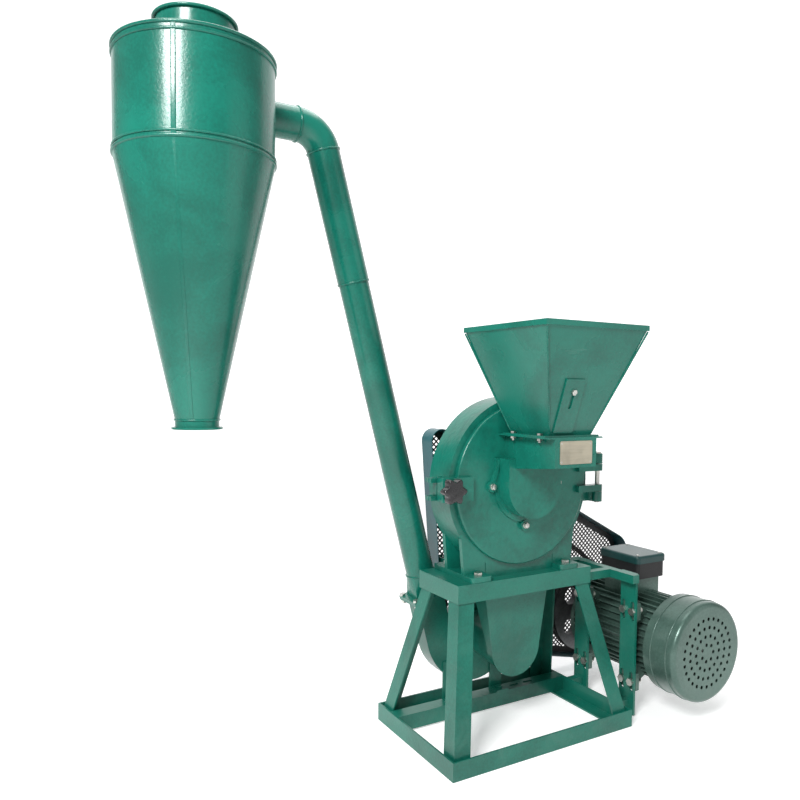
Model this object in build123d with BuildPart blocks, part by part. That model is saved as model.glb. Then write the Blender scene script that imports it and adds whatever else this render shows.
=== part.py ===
"""Self-suction hammer mill: stand, round-case mill, motor, belt drive, blower, riser pipe and cyclone.

Millimetres, +Z up. The origin lies on the floor at the centre of the four anchor holes of the stand.
-Y is the feed side with the door and the hopper, +Y is the belt side, and +X points to the motor.
The axes of the mill, the motor and the blower all run along Y.
"""
import os
from math import asin, atan2, cos, radians, sin, sqrt, tan

from build123d import *

# ---- fits ----
running = 0.05           # radial play of a shaft or a pin that turns in its bore
gap = 0.3                # play between faces that move past each other

# ---- stand, welded from steel angle ----
angle_leg = 50           # width of each flange of the angle
angle_wall = 5
base_length = 630        # outer size of the ring on the floor
base_depth = 410
top_length = 474         # outer size of the ring under the mill
top_depth = 204
top_height = 465         # top face of the stand
anchor_d = 14
anchor_inset_x = 110     # anchor holes from the outer faces of the base ring
anchor_inset_y = 28
fan_rail_y = 90          # front face of the rail that carries the blower
fan_rail_leg = 45
rail_slot_pitch = 36
slot_width = 11

# ---- mill case ----
mill_z = 722             # height of the mill axis
case_r = 247
case_wall = 15
case_front_y = -62
case_back_y = 36
case_back_wall = 14
rim_inner_r = 216        # bore of the front rim, where the door spigot enters
outlet_length = 216      # opening under the case
outlet_wall = 12
foot_inner = 122         # each foot, from the middle of the mill
foot_outer = 192
foot_depth = 200
foot_thick = 15
foot_rib = 14
foot_bolt_x = 157
foot_bolt_y = 77
bolt_d = 12

# ---- door, feed channel and hopper ----
door_r = 228
door_thick = 14
spigot_inner_r = 190
spigot_r = 212
spigot_depth = 10
feed_hole_r = 80
channel_r = 92           # half width of the U-shaped feed channel on the door
channel_front_y = -127
channel_wall = 8
channel_top = 800
channel_flange = 14
box_half = 71            # feed box in front of the channel
box_front_y = -285
box_top = 868
box_floor_front = 789
box_floor_back = 774
sheet = 3
flange_width = 22
hopper_top = 1158
hopper_rim_length = 344
hopper_rim_depth = 350
hopper_rim_y = -190
hopper_neck_front = -262
hopper_neck_back = -103
gate_width = 64
gate_length = 146
gate_offset = -33        # middle of the gate strip from the middle of the hopper
gate_travel = 40

# ---- hinge and latch of the door ----
hinge_x = 277
hinge_y = -80
hinge_pin_r = 7
knuckle_r = 15
boss_circle_r = 116      # screwed bosses of the channel's flange
boss_r = 15
boss_height = 10
knuckle_low = 655        # lower face of the lowest knuckle
knuckle_height = 30
hinge_height = 145
latch_x = -264
trunnion_y = -45
trunnion_r = 11
stud_r = 7
knob_r = 36
ear_gap = 36
ear_thick = 12

# ---- rotor, hammers and screen ----
shaft_r = 20
disc_r = 150
disc_thick = 8
disc_back_y = 16
ring_inner_r = 96
ring_front_y = -38
pin_circle_r = 122
pin_r = 8
hammer_tip_r = 186
hammer_width = 44
hammer_thick = 6
hammer_count = 3
collar_r = 14
screen_r = 196
screen_thick = 3
screen_hole_d = 7
screen_columns = 45
screen_rows = 4

# ---- belt drive ----
groove_y = (213, 228, 243)   # two belts to the motor, one to the blower
belt_top = 13
belt_height = 8
groove_half_angle = 17
mill_pulley_r = 52
motor_pulley_r = 150
fan_pulley_r = 60
pulley_side = 8
mill_bearing_y = (62, 168)
bearing_width = 23
bearing_r = 45
bearing_case_r = 56
bearing_case_end = 198

# ---- belt guard ----
guard_front_y = 203
guard_back_y = 263
guard_sheet = 2
guard_corner = (-100, 828, 38)   # x, z and radius of the corner over the mill
guard_shoulder = (640, 400, 70)  # x, z and radius of the corner over the motor pulley
guard_play = 26                  # room round the motor pulley
guard_fan_play = 32

# ---- blower ----
fan_z = 245
fan_front_y = 133
fan_width = 60
fan_sheet = 3
scroll_r = 106           # first radius of the spiral case
scroll_step = 34         # what each quarter adds to the radius
outlet_lean = 15         # lean of the outlet and of the riser pipe, degrees
outlet_run = 150
outlet_width = 90
impeller_r = 74
eye_r = 58
fan_shaft_r = 14
fan_case_end = 232
fan_foot_x = (-112, 62)

# ---- transition duct from the mill to the blower ----
duct_half = 106
duct_depth = 96
duct_r = 78
duct_sheet = 2.5
plate_lip = 7
plate_thick = 4

# ---- riser pipe and elbow ----
pipe_r = 42
pipe_wall = 2
pipe_flange_thick = 6
pipe_flange_lip = 18         # how far the flange stands out round the blower's outlet
flange_bolt_d = 9
adapter_length = 70
slip_z = 1322            # height of the slip joint of the two pipes
slip_lap = 45
elbow_r = 80
spigot_z = 1684

# ---- cyclone ----
cyclone_x = -885
cyclone_r = 178
barrel_bottom = 1500
barrel_top = 1736
cone_bottom = 890
cone_tip_r = 50
cone_collar = 22
vortex_r = 88
vortex_top = 1814
vortex_dip = 150
cyclone_sheet = 2.5
bead_r = 4

# ---- motor ----
motor_x = 520
motor_z = 214
motor_shaft_height = 150     # from the mounting face to the axis
motor_body_r = 118
fin_height = 14
fin_count = 40
fin_thick = 3.5
motor_front_y = -190
motor_back_y = 130
shield_thick = 15
cowl_r = 150
cowl_front_y = -303
cowl_sheet = 2
stator_bore_r = 71
motor_shaft_r = 21
motor_shoulder_y = 165
motor_shaft_end = 240
foot_hole_y = (-135, 65)
foot_hole_z = 108
foot_bolt_pair = 18      # the two bolts of each foot, from its middle
terminal_half_x = 62
terminal_half_y = 82
terminal_low = 390
terminal_top = 440
lid_height = 24
gland_r = 14

# ---- motor mount ----
upright_width = 60
upright_thick = 8
bar = 25

os.makedirs("parts", exist_ok=True)


def save(piece, label):
    piece.part.label = label
    export_step(piece.part, f"parts/{label}.step")


def side_plane(y, x=0, z=0):
    """A plane square to Y, seen from the front: its x is +X, its y is +Z and its normal is -Y."""
    return Plane(origin=(x, y, z), x_dir=(1, 0, 0), z_dir=(0, -1, 0))


def tube_y(y0, y1, outer_r, inner_r=0, x=0, z=0):
    """A round bar or a ring whose axis runs along Y, from y0 back to y1."""
    with BuildPart() as tube:
        with BuildSketch(side_plane(y0, x, z)):
            Circle(outer_r)
            if inner_r:
                Circle(inner_r, mode=Mode.SUBTRACT)
        extrude(amount=-(y1 - y0))
    return tube.part


def bolt_stack(plane, diameter, grip, nut=True):
    """One hexagon bolt through a joint of the given grip, its head on the plane's face."""
    head = 0.65 * diameter
    tail = 1.4 * diameter if nut else 0
    with BuildPart() as bolt:
        with BuildSketch(plane):
            RegularPolygon(radius=diameter, side_count=6)
        extrude(amount=head)
        with BuildSketch(plane):
            Circle(diameter / 2)
        extrude(amount=-(grip + tail))
        if nut:
            with BuildSketch(plane.offset(-grip)):
                RegularPolygon(radius=diameter, side_count=6)
            extrude(amount=-0.8 * diameter)
    return bolt.part


# ==== stand ====
def angle_ring(length, depth, low, flange_low):
    """A mitred rectangle of steel angle: its upright flange outside, its flat flange turned inwards."""
    with BuildPart() as ring:
        with BuildSketch(Plane.XY.offset(low)):
            Rectangle(length, depth)
            Rectangle(length - 2 * angle_wall, depth - 2 * angle_wall, mode=Mode.SUBTRACT)
        extrude(amount=angle_leg)
        with BuildSketch(Plane.XY.offset(flange_low)):
            Rectangle(length, depth)
            Rectangle(length - 2 * angle_leg, depth - 2 * angle_leg, mode=Mode.SUBTRACT)
        extrude(amount=angle_wall)
    return ring.part


with BuildPart() as base_ring:
    add(angle_ring(base_length, base_depth, 0, 0))
    with BuildSketch(Plane.XY):
        with GridLocations(base_length - 2 * anchor_inset_x, base_depth - 2 * anchor_inset_y, 2, 2):
            Circle(anchor_d / 2)
    extrude(amount=angle_wall, mode=Mode.SUBTRACT)
save(base_ring, "base_ring")

with BuildPart() as top_frame:
    add(angle_ring(top_length, top_depth, top_height - angle_leg, top_height - angle_wall))
    with BuildSketch(Plane.XY.offset(top_height - angle_wall)):
        with GridLocations(2 * foot_bolt_x, 2 * foot_bolt_y, 2, 2):
            Circle(bolt_d / 2)
    extrude(amount=angle_wall, mode=Mode.SUBTRACT)
save(top_frame, "top_frame")

foot_corner = Vector(base_length / 2 - angle_wall, base_depth / 2 - angle_wall, angle_wall)
head_corner = Vector(top_length / 2 - angle_wall, top_depth / 2 - angle_wall, top_height - angle_leg)
leg_rise = top_height - 2 * angle_wall
leg_slope = (head_corner - foot_corner) / (head_corner.Z - foot_corner.Z)
leg_length = leg_rise * leg_slope.length

with BuildPart() as legs:
    for sx in (-1, 1):
        for sy in (-1, 1):
            with BuildSketch(Plane.XY.offset(angle_wall)):
                with Locations((sx * (foot_corner.X - angle_leg / 2), sy * (foot_corner.Y - angle_leg / 2))):
                    Rectangle(angle_leg, angle_leg)
                with Locations((sx * (foot_corner.X - angle_leg / 2 - angle_wall),
                                sy * (foot_corner.Y - angle_leg / 2 - angle_wall))):
                    Rectangle(angle_leg, angle_leg, mode=Mode.SUBTRACT)
            extrude(amount=leg_length, dir=(sx * leg_slope.X, sy * leg_slope.Y, 1))
save(legs, "legs")

rail_length = base_length - 2 * angle_wall
rail_top = angle_wall + fan_rail_leg
with BuildPart() as fan_rail:
    with BuildSketch(Plane.YZ.offset(-rail_length / 2)):
        with BuildLine():
            Polyline((fan_rail_y, angle_wall), (fan_rail_y, rail_top),
                     (fan_rail_y + fan_rail_leg, rail_top),
                     (fan_rail_y + fan_rail_leg, rail_top - angle_wall),
                     (fan_rail_y + angle_wall, rail_top - angle_wall),
                     (fan_rail_y + angle_wall, angle_wall), close=True)
        make_face()
    extrude(amount=rail_length)
    slot_y = fan_rail_y + fan_rail_leg / 2
    with BuildSketch(Plane.XY.offset(rail_top - angle_wall)):
        with Locations(*[(x, slot_y) for x in fan_foot_x]):
            SlotOverall(rail_slot_pitch, slot_width)
        with Locations((2 * fan_foot_x[1], slot_y), (2 * fan_foot_x[1] + 1.5 * rail_slot_pitch, slot_y)):
            SlotOverall(rail_slot_pitch, slot_width)
    extrude(amount=angle_wall, mode=Mode.SUBTRACT)
save(fan_rail, "fan_rail")

# ==== motor mount ====
mount_face = motor_x - motor_shaft_height
upright_x = mount_face - upright_thick
arm_y = foot_bolt_y - 7
with BuildPart() as motor_mount_frame:
    rail_y0 = foot_hole_y[0] - upright_width / 2 - 12
    rail_y1 = foot_hole_y[1] + upright_width / 2
    with BuildSketch(Plane.XY.offset(top_height - angle_leg)):
        with Locations((upright_x - bar / 2, (rail_y0 + rail_y1) / 2)):
            Rectangle(bar, rail_y1 - rail_y0)
        for y in (-arm_y, arm_y):
            with Locations(((top_length / 2 + upright_x - bar) / 2, y)):
                Rectangle(upright_x - bar - top_length / 2, bar)
    extrude(amount=bar)
save(motor_mount_frame, "motor_mount_frame")

with BuildPart() as motor_mount_stays:
    with BuildSketch(Plane.XY.offset(angle_wall)):
        for y in foot_hole_y:
            with Locations(((base_length / 2 + upright_x) / 2, y)):
                Rectangle(upright_x - base_length / 2, bar)
    extrude(amount=angle_leg - angle_wall)
save(motor_mount_stays, "motor_mount_stays")

upright_low = angle_wall
upright_top = top_height - angle_leg + bar
with BuildPart() as motor_uprights:
    for y in foot_hole_y:
        with BuildSketch(Plane.YZ.offset(upright_x)):
            with Locations((y, (upright_low + upright_top) / 2)):
                Rectangle(upright_width, upright_top - upright_low)
            for dz in (-foot_hole_z, foot_hole_z):
                with Locations((y, motor_z + dz)):
                    with Locations((-foot_bolt_pair, 0), (foot_bolt_pair, 0)):
                        SlotOverall(5 * bolt_d, bolt_d + 2, rotation=90, mode=Mode.SUBTRACT)
        extrude(amount=upright_thick)
save(motor_uprights, "motor_uprights")

# ==== mill case ====
case_inner_r = case_r - case_wall
back_inner_y = case_back_y - case_back_wall
neck_front = case_front_y
neck_back = case_back_y
neck_half = outlet_length / 2 + outlet_wall
bearing_bore_r = shaft_r + 2


def hinge_knuckle(low, height, outline, bore_r):
    """One arm of the door hinge with its knuckle round the pin."""
    with BuildPart() as knuckle:
        with BuildSketch(Plane.XY.offset(low)):
            with BuildLine():
                Polyline(*outline, close=True)
            make_face()
            with Locations((hinge_x, hinge_y)):
                Circle(knuckle_r)
                Circle(bore_r, mode=Mode.SUBTRACT)
        extrude(amount=height)
    return knuckle.part


with BuildPart() as mill_housing:
    with BuildSketch(side_plane(case_front_y, 0, mill_z)):
        Circle(case_r)
    extrude(amount=-(case_back_y - case_front_y))
    # outlet neck that stands on the frame
    with BuildSketch(Plane.XY.offset(top_height)):
        with Locations((0, (neck_front + neck_back) / 2)):
            Rectangle(2 * neck_half, neck_back - neck_front)
    extrude(amount=case_r - sqrt(case_r**2 - neck_half**2) + mill_z - case_r - top_height)
    # feet and their ribs
    for s in (-1, 1):
        with BuildSketch(Plane.XY.offset(top_height)):
            with Locations((s * (foot_inner + foot_outer) / 2, 0)):
                RectangleRounded(foot_outer - foot_inner, foot_depth, 10)
        extrude(amount=foot_thick)
        for y in (case_front_y + foot_rib, case_back_y):
            with BuildSketch(side_plane(y - foot_rib)):
                with BuildLine():
                    Polyline((s * foot_inner, top_height), (s * foot_outer, top_height),
                             (s * foot_outer, top_height + foot_thick),
                             (s * case_inner_r * 0.9, mill_z - 0.32 * case_r),
                             (s * foot_inner, mill_z - 0.8 * case_r), close=True)
                make_face()
            extrude(amount=-foot_rib)
    # latch ears
    for s in (-1, 1):
        with BuildSketch(Plane.XY.offset(mill_z + s * (ear_gap + ear_thick) / 2 - ear_thick / 2)):
            with Locations(((latch_x - 36 - case_inner_r - 4) / 2, trunnion_y)):
                Rectangle(abs(latch_x - 36) - case_inner_r - 4, 30)
            with Locations((latch_x - 22, trunnion_y)):
                Circle(15)
        extrude(amount=ear_thick)
    # chamber, front rim bore and outlet
    with BuildSketch(side_plane(case_front_y + case_back_wall, 0, mill_z)):
        Circle(case_inner_r)
    extrude(amount=-(back_inner_y - case_front_y - case_back_wall), mode=Mode.SUBTRACT)
    with BuildSketch(side_plane(case_front_y, 0, mill_z)):
        Circle(rim_inner_r)
    extrude(amount=-case_back_wall, mode=Mode.SUBTRACT)
    with BuildSketch(Plane.XY.offset(top_height)):
        with Locations((0, (neck_front + back_inner_y + outlet_wall) / 2)):
            Rectangle(outlet_length, back_inner_y - neck_front - outlet_wall)
    extrude(amount=mill_z - top_height - screen_r, mode=Mode.SUBTRACT)
    with BuildSketch(side_plane(case_front_y, 0, mill_z)):
        Circle(bearing_bore_r)
    extrude(amount=-(case_back_y - case_front_y), mode=Mode.SUBTRACT)
    # foot bolt holes and the hole of the trunnion pin
    with BuildSketch(Plane.XY.offset(top_height)):
        with GridLocations(2 * foot_bolt_x, 2 * foot_bolt_y, 2, 2):
            Circle(bolt_d / 2)
    extrude(amount=foot_thick, mode=Mode.SUBTRACT)
    with BuildSketch(Plane.XY.offset(mill_z - ear_gap)):
        with Locations((latch_x, trunnion_y)):
            Circle(trunnion_r / 2)
    extrude(amount=2 * ear_gap, mode=Mode.SUBTRACT)
    # fixed knuckles of the hinge
    fixed_arm = [(case_inner_r, case_front_y + 1), (case_inner_r, case_front_y + 20),
                 (hinge_x - 5, case_front_y + 20), (hinge_x + 13, hinge_y + 8),
                 (hinge_x - 13, hinge_y + 8), (hinge_x - 19, case_front_y + 1)]
    for low in (knuckle_low, knuckle_low + hinge_height - knuckle_height):
        add(hinge_knuckle(low, knuckle_height, fixed_arm, hinge_pin_r))
save(mill_housing, "mill_housing")

with BuildPart() as mill_foot_bolts:
    for x in (-foot_bolt_x, foot_bolt_x):
        for y in (-foot_bolt_y, foot_bolt_y):
            seat = Plane(origin=(x, y, top_height + foot_thick))
            add(bolt_stack(seat, bolt_d, foot_thick + angle_wall))
save(mill_foot_bolts, "mill_foot_bolts")

screen_front_y = case_front_y + spigot_depth + gap
with BuildPart() as ring_screen:
    with BuildSketch(side_plane(screen_front_y, 0, mill_z)):
        Circle(screen_r + screen_thick)
        Circle(screen_r, mode=Mode.SUBTRACT)
    extrude(amount=-(back_inner_y - screen_front_y))
    row_pitch = (back_inner_y - screen_front_y) / (screen_rows + 1)
    for row in range(screen_rows):
        with Locations(side_plane(screen_front_y + (row + 1) * row_pitch, 0, mill_z)):
            first = 180 * (row % 2) / screen_columns
            with PolarLocations(screen_r + screen_thick / 2, screen_columns, start_angle=first):
                Cylinder(screen_hole_d / 2, 3 * screen_thick, rotation=(0, 90, 0), mode=Mode.SUBTRACT)
save(ring_screen, "ring_screen")

# ==== rotor ====
with BuildPart() as mill_shaft:
    add(tube_y(ring_front_y + 4, groove_y[-1] + pulley_side + 4, shaft_r, 0, 0, mill_z))
save(mill_shaft, "mill_shaft")

hub_r = 2 * shaft_r
with BuildPart() as rotor_discs:
    add(tube_y(disc_back_y - disc_thick, disc_back_y, disc_r, shaft_r, 0, mill_z))
    add(tube_y(ring_front_y + disc_thick, disc_back_y - disc_thick, hub_r, shaft_r, 0, mill_z))
    add(tube_y(ring_front_y, ring_front_y + disc_thick, disc_r, ring_inner_r, 0, mill_z))
    with Locations(side_plane(ring_front_y, 0, mill_z)):
        with PolarLocations(pin_circle_r, 4):
            Cylinder(pin_r, 4 * hub_r, mode=Mode.SUBTRACT)
save(rotor_discs, "rotor_discs")

pin_front_y = ring_front_y - 3
pin_back_y = disc_back_y + 3
hammer_space = (disc_back_y - disc_thick) - (ring_front_y + disc_thick)
hammer_pitch = hammer_space / hammer_count
hammer_centres = [ring_front_y + disc_thick + (i + 0.5) * hammer_pitch for i in range(hammer_count)]
with BuildPart() as hammer_pins:
    for i in range(4):
        px = pin_circle_r * cos(radians(90 * i))
        pz = mill_z + pin_circle_r * sin(radians(90 * i))
        add(tube_y(pin_front_y, pin_back_y, pin_r, 0, px, pz))
        collar_y = ring_front_y + disc_thick
        for centre in hammer_centres:
            add(tube_y(collar_y, centre - hammer_thick / 2 - gap, collar_r, 0, px, pz))
            collar_y = centre + hammer_thick / 2 + gap
        add(tube_y(collar_y, disc_back_y - disc_thick, collar_r, 0, px, pz))
save(hammer_pins, "hammer_pins")

hammer_reach = hammer_tip_r - pin_circle_r
for i in range(4):
    radial = Vector(cos(radians(90 * i)), 0, sin(radians(90 * i)))
    with BuildPart() as hammer_row:
        for centre in hammer_centres:
            pin_point = radial * pin_circle_r + Vector(0, centre - hammer_thick / 2, mill_z)
            with BuildSketch(Plane(origin=pin_point, x_dir=radial, z_dir=(0, 1, 0))):
                with Locations(((hammer_reach - hammer_width / 2) / 2, 0)):
                    RectangleRounded(hammer_reach + hammer_width / 2, hammer_width, 4)
                Circle(pin_r + running, mode=Mode.SUBTRACT)
            extrude(amount=hammer_thick)
    save(hammer_row, f"hammer_row_{i + 1}")

# ==== mill bearings ====
with BuildPart() as mill_bearing_housing:
    add(tube_y(case_back_y, case_back_y + 14, bearing_case_r + 30, shaft_r + 2, 0, mill_z))
    add(tube_y(case_back_y + 14, bearing_case_end, bearing_case_r, shaft_r + 2, 0, mill_z))
    for y in mill_bearing_y:
        add(tube_y(y - bearing_width / 2, y + bearing_width / 2, bearing_r, 0, 0, mill_z),
            mode=Mode.SUBTRACT)
    with Locations(side_plane(case_back_y + 14, 0, mill_z)):
        with PolarLocations(bearing_case_r + 17, 6, start_angle=30):
            Cylinder(bolt_d / 2, 8, mode=Mode.ADD)
save(mill_bearing_housing, "mill_bearing_housing")

with BuildPart() as mill_bearings:
    for y in mill_bearing_y:
        add(tube_y(y - bearing_width / 2, y + bearing_width / 2, bearing_r, shaft_r + running, 0, mill_z))
save(mill_bearings, "mill_bearings")

# ==== pulleys and belts ====
taper = tan(radians(groove_half_angle))
mill_centre = (0, mill_z)
motor_centre = (motor_x, motor_z)
fan_centre = (0, fan_z)


def pulley(centre, outer_r, bore_r, grooves):
    """A V-belt pulley with one tapered groove for each belt."""
    x, z = centre
    depth = belt_height + 2
    with BuildPart() as wheel:
        add(tube_y(grooves[0] - pulley_side, grooves[-1] + pulley_side, outer_r, bore_r, x, z))
        for y in grooves:
            half_top = belt_top / 2 + gap
            with BuildSketch(Plane(origin=(x, y, z), x_dir=(0, 1, 0), z_dir=(1, 0, 0))):
                with BuildLine():
                    Polyline((-half_top, outer_r), (half_top, outer_r),
                             (half_top - depth * taper, outer_r - depth),
                             (-half_top + depth * taper, outer_r - depth), close=True)
                make_face()
            revolve(axis=Axis((x, 0, z), (0, 1, 0)), mode=Mode.SUBTRACT)
    return wheel.part


def belt_loop(centre_a, r_a, centre_b, r_b, y):
    """A closed V-belt round two pulleys: its trapezoid swept along two runs and two arcs."""
    run = Vector(centre_b[0] - centre_a[0], centre_b[1] - centre_a[1])
    heading = atan2(run.Y, run.X)
    spread = asin((r_b - r_a) / run.length)

    def point(centre, radius, angle):
        return (centre[0] + radius * cos(angle), centre[1] + radius * sin(angle))

    side_1 = heading + radians(90) + spread
    side_2 = heading - radians(90) - spread
    start = point(centre_a, r_a, side_1)
    with BuildPart() as belt:
        with BuildLine(Plane.XZ.offset(-y)) as route:
            Line(start, point(centre_b, r_b, side_1))
            ThreePointArc(point(centre_b, r_b, side_1), point(centre_b, r_b, heading),
                          point(centre_b, r_b, side_2))
            Line(point(centre_b, r_b, side_2), point(centre_a, r_a, side_2))
            ThreePointArc(point(centre_a, r_a, side_2), point(centre_a, r_a, heading + radians(180)), start)
        outward = Vector(cos(side_1), 0, sin(side_1))
        with BuildSketch(Plane(origin=(start[0], y, start[1]), x_dir=(0, 1, 0),
                               z_dir=Vector(0, 1, 0).cross(outward))):
            with BuildLine():
                Polyline((-belt_top / 2, 0), (belt_top / 2, 0),
                         (belt_top / 2 - belt_height * taper, -belt_height),
                         (-belt_top / 2 + belt_height * taper, -belt_height), close=True)
            make_face()
        sweep(path=route.wires()[0])
    return belt.part


with BuildPart() as mill_pulley:
    add(pulley(mill_centre, mill_pulley_r, shaft_r, groove_y))
save(mill_pulley, "mill_pulley")

with BuildPart() as motor_pulley:
    add(pulley(motor_centre, motor_pulley_r, motor_shaft_r, groove_y[:2]))
    with Locations(side_plane(groove_y[0], motor_x, motor_z)):
        with PolarLocations(0.62 * motor_pulley_r, 5):
            Cylinder(0.2 * motor_pulley_r, 8 * belt_top, mode=Mode.SUBTRACT)
save(motor_pulley, "motor_pulley")

with BuildPart() as fan_pulley:
    add(pulley(fan_centre, fan_pulley_r, fan_shaft_r, groove_y[2:]))
save(fan_pulley, "fan_pulley")

with BuildPart() as motor_belts:
    for y in groove_y[:2]:
        add(belt_loop(mill_centre, mill_pulley_r, motor_centre, motor_pulley_r, y))
save(motor_belts, "motor_belts")

with BuildPart() as fan_belt:
    add(belt_loop(mill_centre, mill_pulley_r, fan_centre, fan_pulley_r, groove_y[2]))
save(fan_belt, "fan_belt")

# ==== belt guard ====
guard_circles = [guard_corner, guard_shoulder,
                 (motor_x, motor_z, motor_pulley_r + guard_play),
                 (0, fan_z, fan_pulley_r + guard_fan_play)]


def guard_slab(y0, y1, inset):
    """A flat slab with the guard's outline, a taut band round its four corner circles."""
    with BuildPart() as slab:
        with BuildSketch(Plane.XZ.offset(-y1)):
            for x, z, radius in guard_circles:
                with Locations((x, z)):
                    Circle(radius - inset)
            make_hull()
        extrude(amount=y1 - y0)
    return slab.part


with BuildPart() as belt_guard_rim:
    add(guard_slab(guard_front_y, guard_back_y, 0))
    add(guard_slab(guard_front_y, guard_back_y, guard_sheet), mode=Mode.SUBTRACT)
save(belt_guard_rim, "belt_guard_rim")

with BuildPart() as belt_guard_mesh:
    add(guard_slab(guard_back_y - guard_sheet, guard_back_y, guard_sheet))
save(belt_guard_mesh, "belt_guard_mesh")

mesh_inner_y = guard_back_y - guard_sheet
bracket_thick = 6
bracket_height = 40
bracket_tab = 30
upper_bracket_x = (-90, 92)
stay_x = 210
stay_low = 84
stay_top = 160
with BuildPart() as guard_brackets:
    bracket_low = top_height - angle_leg + 5
    for x in upper_bracket_x:
        with BuildSketch(Plane.XY.offset(bracket_low)):
            with BuildLine():
                Polyline((x, top_depth / 2), (x + bracket_tab, top_depth / 2),
                         (x + bracket_tab, top_depth / 2 + bracket_thick),
                         (x + bracket_thick, top_depth / 2 + bracket_thick),
                         (x + bracket_thick, mesh_inner_y - bracket_thick),
                         (x + bracket_tab, mesh_inner_y - bracket_thick),
                         (x + bracket_tab, mesh_inner_y), (x, mesh_inner_y), close=True)
            make_face()
        extrude(amount=bracket_height)
    # stay from the base, under the rim and up against the back of the mesh
    with BuildSketch(Plane.YZ.offset(stay_x - bracket_height / 2)):
        with BuildLine():
            Polyline((base_depth / 2, angle_wall), (base_depth / 2, stay_low + bracket_thick),
                     (guard_back_y, stay_low + bracket_thick), (guard_back_y, stay_top),
                     (guard_back_y + bracket_thick, stay_top), (guard_back_y + bracket_thick, stay_low),
                     (base_depth / 2 + bracket_thick, stay_low),
                     (base_depth / 2 + bracket_thick, angle_wall), close=True)
        make_face()
    extrude(amount=bracket_height)
save(guard_brackets, "guard_brackets")

# ==== blower ====
half_step = scroll_step / 2
fan_back_y = fan_front_y + fan_width
lean = radians(outlet_lean)
outlet_dir = Vector(-sin(lean), cos(lean))
outlet_side = Vector(cos(lean), sin(lean))
quarter_r = [scroll_r + i * scroll_step for i in range(3)]
quarter_centre = [Vector(half_step, fan_z - half_step), Vector(-half_step, fan_z - half_step),
                  Vector(-half_step, fan_z + half_step)]


def polar(centre, radius, angle):
    """The point of a circle at an angle in degrees from +X towards +Z."""
    return centre + Vector(radius * cos(radians(angle)), radius * sin(radians(angle)))


def scroll_face(y, inset, reach=0):
    """The spiral outline of the blower case, drawn inside the sheet by the inset."""
    q1, q2, q3 = quarter_centre
    r1, r2, r3 = [radius - inset for radius in quarter_r]
    end_angle = 180 + outlet_lean
    outer_low = polar(q3, r3, end_angle)
    outer_top = outer_low + outlet_dir * (outlet_run + reach)
    inner_top = outer_top + outlet_side * (outlet_width - 2 * inset)
    inner_low = inner_top - outlet_dir * (outlet_run / 2 + reach)
    tongue = polar(q1, r1, 135)
    with BuildSketch(side_plane(y)) as face:
        with BuildLine():
            ThreePointArc(tongue, polar(q1, r1, 60), polar(q1, r1, 0))
            ThreePointArc(polar(q1, r1, 0), polar(q2, r2, -45), polar(q2, r2, -90))
            ThreePointArc(polar(q2, r2, -90), polar(q3, r3, -120), outer_low)
            Polyline(outer_low, outer_top, inner_top, inner_low, tongue)
        make_face()
    return face.sketch


outer_low = polar(quarter_centre[2], quarter_r[2], 180 + outlet_lean)
outlet_mid = outer_low + outlet_dir * outlet_run + outlet_side * (outlet_width / 2)
pipe_y = fan_front_y + fan_width / 2
pipe_up = Vector(outlet_dir.X, 0, outlet_dir.Y)
pipe_foot = Vector(outlet_mid.X, pipe_y, outlet_mid.Y)


def pipe_plane(distance):
    """A plane square to the riser pipe, this far above the blower's outlet."""
    return Plane(origin=pipe_foot + pipe_up * distance, x_dir=(cos(lean), 0, sin(lean)), z_dir=pipe_up)


with BuildPart() as fan_casing:
    extrude(scroll_face(fan_front_y, 0), amount=-fan_width)
    extrude(scroll_face(fan_front_y + fan_sheet, fan_sheet, reach=10), amount=-(fan_width - 2 * fan_sheet),
            mode=Mode.SUBTRACT)
    add(tube_y(fan_front_y - 1, fan_front_y + 2 * fan_sheet, eye_r, 0, 0, fan_z), mode=Mode.SUBTRACT)
    add(tube_y(fan_back_y - 2 * fan_sheet, fan_back_y + 1, fan_shaft_r + 2, 0, 0, fan_z), mode=Mode.SUBTRACT)
    # flange round the outlet, and the ring that takes the duct round the eye
    with BuildSketch(pipe_plane(0)):
        Rectangle(outlet_width + 2 * pipe_flange_lip, fan_width + 2 * pipe_flange_lip)
        Rectangle(outlet_width - 1, fan_width - 1, mode=Mode.SUBTRACT)
        with GridLocations(outlet_width + 20, fan_width + 20, 2, 2):
            Circle(flange_bolt_d / 2, mode=Mode.SUBTRACT)
    extrude(amount=-pipe_flange_thick)
save(fan_casing, "fan_casing")

fan_gap = 6
blade_count = 8
with BuildPart() as fan_impeller:
    wheel_y0 = fan_front_y + fan_sheet + fan_gap
    wheel_y1 = fan_back_y - fan_sheet - fan_gap
    add(tube_y(wheel_y1 - 3, wheel_y1, impeller_r, fan_shaft_r, 0, fan_z))
    add(tube_y(wheel_y0 + 8, wheel_y1, 1.8 * fan_shaft_r, fan_shaft_r, 0, fan_z))
    with Locations(side_plane((wheel_y0 + wheel_y1) / 2, 0, fan_z)):
        with PolarLocations(impeller_r / 2 + fan_shaft_r / 2 + 5, blade_count):
            Box(impeller_r - fan_shaft_r - 14, 3, wheel_y1 - wheel_y0)
save(fan_impeller, "fan_impeller")

with BuildPart() as fan_shaft:
    add(tube_y(wheel_y0 + 4, groove_y[-1] + pulley_side, fan_shaft_r, 0, 0, fan_z))
save(fan_shaft, "fan_shaft")

with BuildPart() as fan_bearing_housing:
    add(tube_y(fan_back_y, fan_back_y + 8, 60, fan_shaft_r + running, 0, fan_z))
    add(tube_y(fan_back_y + 8, fan_case_end, 36, fan_shaft_r + running, 0, fan_z))
    with Locations(side_plane(fan_back_y + 11, 0, fan_z)):
        with PolarLocations(48, 4, start_angle=45):
            Cylinder(7, 6)
save(fan_bearing_housing, "fan_bearing_housing")

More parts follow.
